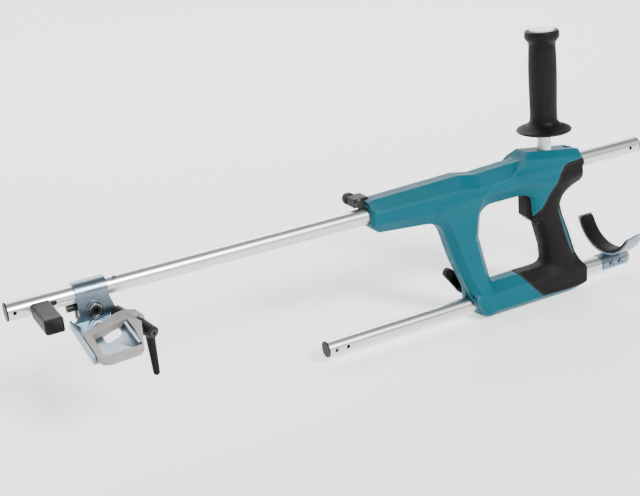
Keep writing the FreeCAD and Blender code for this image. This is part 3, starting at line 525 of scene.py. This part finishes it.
# ------------------------------------------------------------------ housing
@dataclass
class Housing:
    """The D-handle's moulded shells, their rubber overmould and the teal inlay strips."""

    step: float = 1.15
    seam: float = 0.10
    skin: float = 2.0
    barrel_half: float = 20.3
    strut_half: float = 17.3
    foot_half: float = 19.8
    grip_half: float = 16.8
    boss_half: float = 17.8
    rubber_proud: float = 0.35
    socket_radius: float = 8.3
    socket_floor: float = 20.8
    tube_clearance: float = 0.55
    facet_round: float = 0.9
    foot_round: float = 1.6
    grip_round: float = 3.0
    foot_top: float = 23.4
    foot_bottom: float = 18.8
    foot_front: float = -116.0
    heel_end: float = 46.0
    screw_recess: float = 3.4
    groove_places: tuple = (8.5, 0.8, 1.2)
    rubber_zone: list = field(default_factory=lambda: [
        (15.5, 5.5), (70, 9), (70, -149.5), (21, -154.5), (-21, -152.5), (-41, -131), (-57, -108), (-40, -86),
        (-38, -62), (-29.5, -59.5), (-21.5, -45.5), (-17.5, -43.5)])
    screw_places: list = field(default_factory=lambda: [
        (-205, 14.6), (-150, -21), (-62, 13), (22, -20), (-118, -80), (-52, -156.8), (4, -84), (14, -156.8)])

    def __post_init__(self) -> None:
        """Sets the limb outlines as soft curves."""
        low = LOWER_AXIS
        self.top = soft_curve([(NOSE - 2, 16.5), (NOSE + 6, 19.0), (-128, 21.8), (-106, 17.9), (-60, 20.0),
                               (TAIL, 17.0)], 5)
        self.bottom = soft_curve([(NOSE - 2, -15.5), (NOSE + 9, -19.5), (-158, -26.5), (-100, -21.6),
                                  (-38, -21.8), (8, -29), (TAIL, -22)], 5)
        self.side = soft_curve([(NOSE - 2, 16.5), (NOSE + 12, 18.6), (-150, self.barrel_half),
                                (-30, self.barrel_half), (TAIL, 18.6)], 6)
        self.strut_front = soft_curve([(low - 16, -106), (low + 13, -117), (low + 61, -137.5),
                                       (-42, -150), (-16, -166)], 4)
        self.strut_rear = soft_curve([(low - 16, -84), (low + 22, -88), (-58, -103), (-20, -98), (-8, -94)], 5)
        self.grip_front = soft_curve([(low + 8, -16), (low + 22, -6), (-98, -8), (-64, -17.5), (-56, -28),
                                      (-30, -31), (-12, -32)], 3.5)
        self.grip_rear = soft_curve([(low + 8, 44), (low + 26, 39), (-84, 28), (-60, 19), (-44, 15.5),
                                     (-30, 24), (-14, 42)], 5)

    def barrel(self, x: Array, y: Array, z: Array) -> Array:
        """The beam round the upper tube: flat top and belly, two slanted facets and a side on each face."""
        wide, high, deep = self.side(x), self.top(x), self.bottom(x)
        across = np.abs(y)
        upper = 0.777 * across + 0.629 * z - (6.6 + 0.629 * high)
        lower = 0.82 * across - 0.572 * z - (8.2 - 0.572 * deep)
        nose = 0.80 * (NOSE - x) + 0.60 * (across - wide + 4.5)
        tail = 0.85 * (x - TAIL) + 0.53 * (across - wide + 4.0)
        chin = -0.62 * (x - NOSE) - 0.785 * (z + 12.0)
        return blend_max(self.facet_round, z - high, deep - z, across - wide, upper, lower, NOSE - x,
                         x - TAIL, nose, tail, chin)

    def boss(self, x: Array, y: Array, z: Array) -> Array:
        """The raised seat of the side grip: a sloping top, a steep front and slanted flanks."""
        across = np.abs(y)
        top = (z - 29.2) * 0.99 + (x + 34) * 0.142
        front = -0.62 * (x + 43) + 0.785 * (z - 21)
        flank = 0.80 * across + 0.60 * z - (0.80 * 12.0 + 0.60 * (28.0 - 0.143 * (x + 34)))
        rear = 0.93 * (x - 39.5) + 0.36 * (z - 15)
        return blend_max(self.facet_round, top, front, flank, rear, across - self.boss_half, -z)

    def strut(self, x: Array, y: Array, z: Array) -> Array:
        """The front leg: a tapering bar with chamfered corners."""
        front, rear = self.strut_front(z), self.strut_rear(z)
        middle, half = (front + rear) / 2, (rear - front) / 2
        along, across = np.abs(x - middle) * 0.95, np.abs(y)
        corner = (along + across - (half * 0.95 + self.strut_half - 9.5)) * 0.7071
        return blend_max(self.facet_round, along - half * 0.95, across - self.strut_half, corner,
                         z + 10, LOWER_AXIS - 12 - z)

    def foot(self, x: Array, y: Array, z: Array) -> Array:
        """The bar round the lower tube, with a cut-off front corner and raised heel."""
        across, up = np.abs(y), z - LOWER_AXIS
        lower = (across - up - (self.foot_bottom + self.foot_half - 9.0)) * 0.7071
        upper = (across + up - (self.foot_bottom + self.foot_half - 7.4)) * 0.7071
        heel = 0.707 * (x - self.heel_end) + 0.707 * (up - 12)
        under = 0.5 * (x - self.heel_end) - 0.866 * (up + 8)
        outer_groove, outer_half, middle_half = self.groove_places
        grooves = np.minimum(np.abs(across - outer_groove) - outer_half, across - middle_half)
        grooves = np.maximum(np.maximum(grooves, x + 110.5), -4 - up)
        toe = -0.87 * (x + 114) - 0.5 * (up - 4)
        sole = -0.5 * (x + 99) - 0.866 * (up + 16.0)
        bar = blend_max(self.foot_round, up - self.foot_top, -self.foot_bottom - up,
                        across - self.foot_half, lower, upper, x - self.heel_end, self.foot_front - x,
                        heel, under, toe, sole)
        return np.maximum(bar, -grooves)

    def grip(self, x: Array, y: Array, z: Array) -> Array:
        """The pistol grip: rounded sections between its front and rear lines."""
        front, rear = self.grip_front(z), self.grip_rear(z)
        middle, half = (front + rear) / 2, (rear - front) / 2
        u, v = np.abs(x - middle) / half, np.abs(y) / self.grip_half
        ratio = (u ** 2.5 + v ** 2.5) ** 0.4
        shape = (ratio - 1) * np.minimum(half, self.grip_half) * 0.92
        return blend_max(self.grip_round, shape, z + 12, LOWER_AXIS + 5 - z)

    def body(self, x: Array, y: Array, z: Array) -> Array:
        """All limbs joined with soft fillets, before anything is taken out."""
        beam = smooth_min(self.barrel(x, y, z), self.boss(x, y, z), 3.0)
        legs = smooth_min(self.strut(x, y, z), self.foot(x, y, z), 7.0)
        whole = smooth_min(beam, legs, 13.0)
        return smooth_min(whole, self.grip(x, y, z), 9.0)

    def holes(self, x: Array, y: Array, z: Array) -> Array:
        """Tube passages, trigger slot, side grip socket and the rear notch as one distance."""
        passage = TUBE_RADIUS + self.tube_clearance
        upper = np.hypot(y, z) - passage
        lower = np.hypot(y, z - LOWER_AXIS) - passage
        socket = np.maximum(np.hypot(x, y) - self.socket_radius, self.socket_floor - z)
        notch = np.maximum(np.maximum(np.abs(y) - 4.2, 27 - x), 13.5 - z)
        slot = blend_max(1.0, np.abs(y) - 8.3, z + 12.5, -63 - z, x + 3.0, -66 - x)
        ear_x, ear_z = NOSE - 6.0, TUBE_RADIUS + 5.5
        ear = blend_max(0.5, 2.4 - y, x - (ear_x + 12.6), np.abs(z - ear_z) - 6.2)
        lock_x, lock_z = -111.0, LOWER_AXIS + TUBE_RADIUS + 4.5
        lock = blend_max(0.8, self.foot_half - 4.6 - y, x - (lock_x + 11), lock_z - 11 - z, z - (lock_z + 12))
        clamp = blend_max(0.6, x + 106.5, np.abs(y) - 2.0, LOWER_AXIS - z, z - (LOWER_AXIS + 17))
        out = np.minimum(np.minimum(upper, lower), np.minimum(socket, notch))
        out = np.minimum(np.minimum(out, slot), np.minimum(ear, lock))
        out = np.minimum(out, clamp)
        stud = np.maximum(np.hypot(x - lock_x, z - lock_z) - 5.9, np.abs(y + 11.2) - 1.8)
        out = np.minimum(out, stud)
        for sx, sz in self.screw_places:
            out = np.minimum(out, np.maximum(np.hypot(x - sx, z - sz) - self.screw_recess, 9.4 - y))
        return out

    def zone(self, x: Array, z: Array) -> Array:
        """Side outline of the rubber, negative inside."""
        return polygon_distance(x, z, self.rubber_zone)

    def strip(self, x: Array, z: Array) -> Array:
        """Side outline of the slim inlay strip that runs down the back of the grip."""
        t = np.clip((z + 112) / 66, 0, 1)
        centre = 28.5 - 21.5 * t ** 0.92
        half = 1.9 * np.sin(np.pi * np.clip(t, 0.02, 0.98)) ** 0.45
        return np.maximum(np.abs(x - centre) - half, np.maximum(z + 46.5, -112 - z))

    def shell(self, half: float) -> Field:
        """Distance of one teal shell; half is -1 for the near one and 1 for the far one."""

        def distance(x: Array, y: Array, z: Array) -> Array:
            """Body on one side of the seam, less its holes and the bed of the rubber."""
            skin = self.body(x, y, z)
            bed = np.maximum(self.zone(x, z) - 0.12, -(skin + self.skin))
            out = np.maximum(smooth_max(skin, -self.holes(x, y, z), 0.6), self.seam - half * y)
            return np.maximum(out, -bed)

        return distance

    def rubber(self, half: float) -> Field:
        """Distance of one half of the overmould."""

        def distance(x: Array, y: Array, z: Array) -> Array:
            """Outer skin inside the zone, slightly proud, less the holes and the strip."""
            skin = self.body(x, y, z)
            layer = np.maximum(smooth_max(skin - self.rubber_proud, self.zone(x, z) + 0.12, 1.2),
                               -(skin + self.skin - 0.1))
            out = np.maximum(smooth_max(layer, -self.holes(x, y, z), 0.6), self.seam - half * y)
            return np.maximum(out, -(self.strip(x, z) - 0.15))

        return distance

    def inlay(self, half: float) -> Field:
        """Distance of one teal inlay strip."""

        def distance(x: Array, y: Array, z: Array) -> Array:
            """The strip's outline through the skin, a little below the rubber."""
            skin = self.body(x, y, z)
            out = smooth_max(skin - 0.1, self.strip(x, z) + 0.1, 0.5)
            return np.maximum(np.maximum(out, -(skin + self.skin - 0.2)), 5.0 - half * y)

        return distance

    def build(self, paint: Paintshop) -> None:
        """Makes both shells, both rubber halves and the strips, and dresses them."""
        edge = self.step * 3
        low_x, high_x, low_z, high_z = NOSE - edge, 46 + edge, LOWER_AXIS - 19 - edge, 30 + edge
        for name, half in (("left", -1.0), ("right", 1.0)):
            reach = sorted((0.0, half * 21.5))
            low = np.array([low_x, reach[0] - edge * (half > 0) - 0.37, low_z])
            high = np.array([high_x, reach[1] + edge, high_z])
            points, faces = surface_nets(self.shell(half), low, high, self.step)
            shell = make_object("shell_" + name, points, faces, sharp_angle=38)
            paint.coat(shell, TEAL_NYLON)
            place(shell, "housing", "teal_plastic", "housing_" + name)
            low[0], high[0], high[2] = -62.0, 52.0, 14.0
            points, faces = surface_nets(self.rubber(half), low, high, self.step * 0.85)
            skin = make_object("overmould_" + name, points, faces, sharp_angle=40)
            paint.coat(skin, OVERMOULD)
            place(skin, "housing", "grip_rubber", "grip_rubber_" + name)
            low = np.array([2.0, low[1], -114.0])
            high = np.array([34.0, high[1], -44.0])
            points, faces = surface_nets(self.inlay(half), low, high, 0.6)
            strip = make_object("inlay_" + name, points, faces)
            paint.coat(strip, TEAL_NYLON)
            place(strip, "housing", "teal_plastic", "grip_inserts")
            LOG.info("housing %s: %d and %d vertices", name, len(shell.data.vertices), len(skin.data.vertices))


# ------------------------------------------------------------------ side grip
@dataclass
class SideGrip:
    """The screwed-in side grip: a fluted soft sleeve with a ribbed hand guard."""

    sides: int = 240
    flutes: int = 40
    flute_depth: float = 0.32
    guard_ribs: int = 60
    guard_rib_height: float = 0.45

    def build(self, paint: Paintshop) -> None:
        """Makes the sleeve and the guard as one turned skin."""
        low, high = node_box("side_grip_rubber")
        base, top, guard = low[2], high[2], (high[0] - low[0]) / 2
        profile = [(9.2, base + 0.3), (guard - 2.2, base), (guard - 0.7, base + 0.5), (guard, base + 1.5),
                   (guard - 0.5, base + 2.7), (guard - 2, base + 3.3), (guard - 6, base + 4.6),
                   (guard - 10, base + 6.6), (19, base + 9.2), (16.6, base + 11.6), (15.9, base + 15),
                   (15.7, base + 20), (15.8, base + 34), (16.3, base + 56), (16.4, base + 74),
                   (15.8, base + 92), (15.4, base + 101), (15.8, base + 104.5),
                   (18.2, base + 107.2), (19.6, base + 109.2),
                   (20.0, base + 111.4), (19.9, base + 115), (19.2, base + 117.1), (17.9, top),
                   (14.6, top - 0.1), (14.1, top - 0.6), (14.1, top - 2.5), (9.2, top - 3)]
        curve = self.refine(np.array(profile))

        def relief(angle: Array, radius: Array, height: Array) -> tuple[Array, Array]:
            """Flutes are cosine hollows along the body; ribs are cosine ridges on the guard's top."""
            body = np.clip((height - base - 17) / 4, 0, 1) * np.clip((base + 100 - height) / 4, 0, 1)
            groove = -self.flute_depth * body * (0.5 + 0.5 * np.cos(self.flutes * angle)) ** 3
            dish = np.clip((radius - 19) / 3, 0, 1) * np.clip((guard - 1.2 - radius) / 1.5, 0, 1)
            dish = dish * (height > base + 2.8)
            ridge = self.guard_rib_height * dish * (0.5 + 0.5 * np.cos(self.guard_ribs * angle)) ** 2
            rim = np.clip((height - base - 109) / 1, 0, 1) * np.clip((top - 1.5 - height) / 1, 0, 1)
            rim = rim * (radius > 19)
            knurl = -0.15 * rim * (np.cos(30 * angle) > 0.55)
            return groove + knurl, ridge

        points, faces = turned(curve, self.sides, np.zeros(3), relief)
        rows = len(curve)
        closing = np.stack([np.arange(self.sides) + (rows - 1) * self.sides,
                            (np.arange(self.sides) + 1) % self.sides + (rows - 1) * self.sides,
                            (np.arange(self.sides) + 1) % self.sides, np.arange(self.sides)], -1)
        sleeve = make_object("side_grip_sleeve", points, np.concatenate([faces, closing]), sharp_angle=60)
        paint.coat(sleeve, GRIP_VINYL)
        place(sleeve, "housing", "grip_black", "side_grip_rubber")
        LOG.info("side grip: %d vertices", len(points))

    def refine(self, profile: Array) -> Array:
        """Adds points to a profile by rounding its corners twice, each cut at a quarter of its sides."""
        for _ in range(2):
            inner = np.empty((2 * (len(profile) - 1), 2))
            inner[0::2] = 0.75 * profile[:-1] + 0.25 * profile[1:]
            inner[1::2] = 0.25 * profile[:-1] + 0.75 * profile[1:]
            profile = np.vstack([profile[:1], inner, profile[-1:]])
        return profile


# ------------------------------------------------------------------ arm rest
@dataclass
class ArmRest:
    """The forearm cradle: its foam pad, crowned across and soft at every edge."""

    columns: int = 96
    ring: int = 44
    crown: float = 1.1
    cradle_radius: float = 49.5
    strap_thickness: float = 2.2
    half_thickness: float = 2.0
    near_end: float = -63.5
    far_end: float = 75.5

    def build(self, paint: Paintshop) -> None:
        """Makes the pad as a soft section carried round the cradle's arc."""
        low, high = node_box("arm_pad")
        strap_low = node_box("arm_strap")[0]
        radius = self.cradle_radius - self.strap_thickness - 0.1
        centre = strap_low[2] + self.cradle_radius
        near, far = math.radians(self.near_end), math.radians(self.far_end)
        share = np.linspace(0, 1, self.columns)
        ease = 0.5 - 0.5 * np.cos(np.pi * share)
        angle = near + (far - near) * (0.4 * ease + 0.6 * share)
        swell = np.sqrt(np.clip(1 - np.abs(2 * share - 1) ** 14, 0, 1))
        middle = (low[0] + high[0]) / 2
        half_width, half_thick = (high[0] - low[0]) / 2 - 0.1, self.half_thickness
        turn = np.linspace(0, 2 * np.pi, self.ring, endpoint=False)
        s, t = np.meshgrid(np.arange(self.columns), turn, indexing="ij")
        cos, sin = np.cos(t), np.sin(t)
        across = half_width * np.sign(cos) * np.abs(cos) ** 0.35
        thick = half_thick * np.sign(sin) * np.abs(sin) ** 0.55
        thick = thick + self.crown * np.clip(sin, 0, 1) * (1 - (across / half_width) ** 2)
        across, thick = across * (0.35 + 0.65 * swell[s]), thick * swell[s]
        r = radius - half_thick - thick
        points = np.stack([middle + across, r * np.sin(angle[s]), centre - r * np.cos(angle[s])], -1)
        points = points.reshape(-1, 3)
        faces = grid_faces(self.columns, self.ring, True)
        points[:self.ring] = points[:self.ring].mean(0)
        points[-self.ring:] = points[-self.ring:].mean(0)
        pad = make_object("arm_rest_pad", points, faces)
        weld(pad)
        paint.coat(pad, FOAM)
        place(pad, "lower_tube", "foam", "arm_pad")
        LOG.info("arm rest pad: %d vertices", len(pad.data.vertices))


def weld(obj: bpy.types.Object) -> None:
    """Merges doubled vertices, as at a pole, and turns all faces outwards."""
    shape = bmesh.new()
    shape.from_mesh(obj.data)
    bmesh.ops.remove_doubles(shape, verts=shape.verts, dist=1e-6)
    bmesh.ops.dissolve_degenerate(shape, edges=shape.edges, dist=1e-7)
    bmesh.ops.recalc_face_normals(shape, faces=shape.faces)
    shape.to_mesh(obj.data)
    shape.free()
    obj.data.polygons.foreach_set("use_smooth", np.full(len(obj.data.polygons), True))


# ------------------------------------------------------------------ edges of hard pieces
@dataclass
class EdgedPieces:
    """Hard pieces whose sharp edges get the small radius that moulding, casting or bending leaves."""

    radii: dict = field(default_factory=lambda: {
        "tool_bracket": 0.55, "clamp_frame": 0.9, "clamp_block": 0.5, "finger": 0.5, "trigger": 0.6,
        "upper_lock_lever": 1.0, "lower_lock_lever": 1.0, "slot_washer": 0.5, "pinch_slider": 0.5,
        "block_screw": 0.4, "pinch_bolt": 0.25, "spindle_nut": 0.5, "clamp_lever": 0.5, "arm_strap": 0.4,
        "arm_clip": 0.35, "side_grip_collar": 0.4, "lower_front_cap": 0.35, "upper_front_cap": 0.35,
        "upper_rear_cap": 0.35, "lower_rear_cap": 0.35, "upper_front_bush": 0.5, "stop_rivet": 0.3,
        "pinch_nut": 0.3, "upper_lock_stud": 0.3, "lower_lock_stud": 0.3, "arm_screws": 0.25})
    merge: float = 0.002
    flat_angle: float = 0.6
    sharp_angle: float = 40.0
    bevel_angle: float = 35.0

    def build(self, paint: Paintshop) -> None:
        """Makes a rounded copy of each listed CAD piece."""
        slots = {part["node"]: part["material_slot"] for part in frame["record"]["subparts"]}
        bodies = {node: body for body, nodes in frame["record"]["behaviour"]["bodies"].items()
                  for node in nodes}
        for name, radius in self.radii.items():
            copy = self.rounded(name, radius)
            paint.coat(copy, SLOT_FINISHES[slots[name]])
            place(copy, bodies[name], slots[name], name)
        LOG.info("%d pieces with rounded edges", len(self.radii))

    def rounded(self, name: str, radius: float) -> bpy.types.Object:
        """Copies a CAD mesh, merges its doubled points and rounds its edges.

        Args:
            name: The CAD node.
            radius: Edge radius in millimetres.

        Returns:
            The copy, at the origin.
        """
        source = frame["nodes"][name]
        mesh = source.data.copy()
        mesh.transform(source.matrix_world)
        shape = bmesh.new()
        shape.from_mesh(mesh)
        bmesh.ops.remove_doubles(shape, verts=shape.verts, dist=self.merge * MM)
        flat = math.radians(self.flat_angle)
        bmesh.ops.dissolve_limit(shape, angle_limit=flat, verts=shape.verts, edges=shape.edges)
        shape.to_mesh(mesh)
        shape.free()
        mesh.polygons.foreach_set("use_smooth", np.full(len(mesh.polygons), True))
        mesh.set_sharp_from_angle(angle=math.radians(self.sharp_angle))
        obj = bpy.data.objects.new(name + "_edged", mesh)
        bpy.context.scene.collection.objects.link(obj)
        bevel = obj.modifiers.new("edge", "BEVEL")
        bevel.width, bevel.segments = radius * MM, 2
        bevel.limit_method, bevel.angle_limit = "ANGLE", math.radians(self.bevel_angle)
        bevel.harden_normals = True
        return obj


# ------------------------------------------------------------------ studio
@dataclass
class Studio:
    """The camera, the pale sweep that glows a little, and its soft lights."""

    eye: tuple = (-812.0, -1045.8, 419.8)
    right: tuple = (0.88015, -0.46589, -0.09103)
    up: tuple = (0.24214, 0.27569, 0.93025)
    lens: float = 64.69
    sky: float = 0.36
    floor_glow: float = 0.7

    def camera(self) -> None:
        """Stands the camera where the handle is seen from its left front, slightly above."""
        data = bpy.data.cameras.new("camera")
        data.lens, data.sensor_width, data.clip_end = self.lens, 36.0, 20.0
        right, up = np.array(self.right), np.array(self.up)
        right = right / np.linalg.norm(right)
        back = np.cross(right, up)
        back = back / np.linalg.norm(back)
        up = np.cross(back, right)
        turn = Matrix([[right[i], up[i], back[i], self.eye[i] * MM] for i in range(3)] + [[0, 0, 0, 1]])
        obj = bpy.data.objects.new("camera", data)
        obj.matrix_world = turn
        bpy.context.scene.collection.objects.link(obj)
        bpy.context.scene.camera = obj

    def floor(self) -> None:
        """A white floor that curves up behind the object: a line, an arc and a line carried along Y."""
        ground = CAD_BOX[0][2] / MM - 0.4
        size, bend = 9000.0, 1500.0
        arc = np.linspace(0, np.pi / 2, 24)
        run = np.concatenate([[-size], size * 0.35 + bend * np.sin(arc), [size * 0.35 + bend]])
        rise = np.concatenate([[0.0], bend * (1 - np.cos(arc)), [size]])
        along = np.linspace(-size, size, 12)
        y, x = np.meshgrid(run, along, indexing="ij")
        z = np.broadcast_to(rise[:, None], y.shape) + ground
        points = np.stack([x, y, z], -1).reshape(-1, 3)
        floor = make_object("floor", points, grid_faces(len(run), len(along), False)[:, ::-1])
        material = bpy.data.materials.new("painted_floor")
        material.use_nodes = True
        shader = material.node_tree.nodes["Principled BSDF"]
        shader.inputs["Base Color"].default_value = linear("#F7F7F7")
        shader.inputs["Roughness"].default_value = 0.9
        shader.inputs["Emission Color"].default_value = (1, 1, 1, 1)
        shader.inputs["Emission Strength"].default_value = self.floor_glow
        floor.data.materials.append(material)

    def lamp(self, name: str, at: tuple, size: float, power: float) -> None:
        """One square lamp that faces the middle of the handle."""
        data = bpy.data.lights.new(name, "AREA")
        data.shape, data.size, data.energy = "SQUARE", size, power
        lamp = bpy.data.objects.new(name, data)
        position = np.array(at)
        back = position - np.array([-0.2, 0, -0.05])
        back = back / np.linalg.norm(back)
        side = np.cross([0, 0, 1.0], back)
        side = side / np.linalg.norm(side)
        up = np.cross(back, side)
        lamp.matrix_world = Matrix([[side[i], up[i], back[i], position[i]] for i in range(3)] + [[0, 0, 0, 1]])
        bpy.context.scene.collection.objects.link(lamp)

    def light(self) -> None:
        """A soft even sky, a wide window on the near side, a key from the front and a lamp behind."""
        world = bpy.data.worlds.new("soft_sky")
        world.use_nodes = True
        world.node_tree.nodes["Background"].inputs["Color"].default_value = (1, 1, 1, 1)
        world.node_tree.nodes["Background"].inputs["Strength"].default_value = self.sky
        bpy.context.scene.world = world
        self.sun("window", (0.20, -0.88, 0.70), 14.0, 4.8)
        self.lamp("key", (-0.9, -1.7, 1.0), 0.9, 8.0)
        self.lamp("rim", (0.4, 1.7, 1.5), 1.2, 20.0)

    def sun(self, name: str, towards: tuple, spread: float, strength: float) -> None:
        """Even light from a wide window; spread is its angular size in degrees."""
        data = bpy.data.lights.new(name, "SUN")
        data.energy, data.angle = strength, math.radians(spread)
        lamp = bpy.data.objects.new(name, data)
        back = np.array(towards) / np.linalg.norm(towards)
        side = np.cross([0, 0, 1.0], back)
        side = side / np.linalg.norm(side)
        up = np.cross(back, side)
        lamp.matrix_world = Matrix([[side[i], up[i], back[i], 0.0] for i in range(3)] + [[0, 0, 0, 1]])
        bpy.context.scene.collection.objects.link(lamp)


def main() -> None:
    """Builds the studio, the finishes and each sub-assembly in order."""
    logging.basicConfig(level=logging.INFO, format="%(name)s: %(message)s")
    studio = Studio()
    studio.camera()
    studio.floor()
    studio.light()
    paint = Paintshop()
    LOG.info("dressed %d CAD nodes", paint.dress_frame())
    Housing().build(paint)
    SideGrip().build(paint)
    ArmRest().build(paint)
    EdgedPieces().build(paint)


if __name__ == "__main__":
    main()
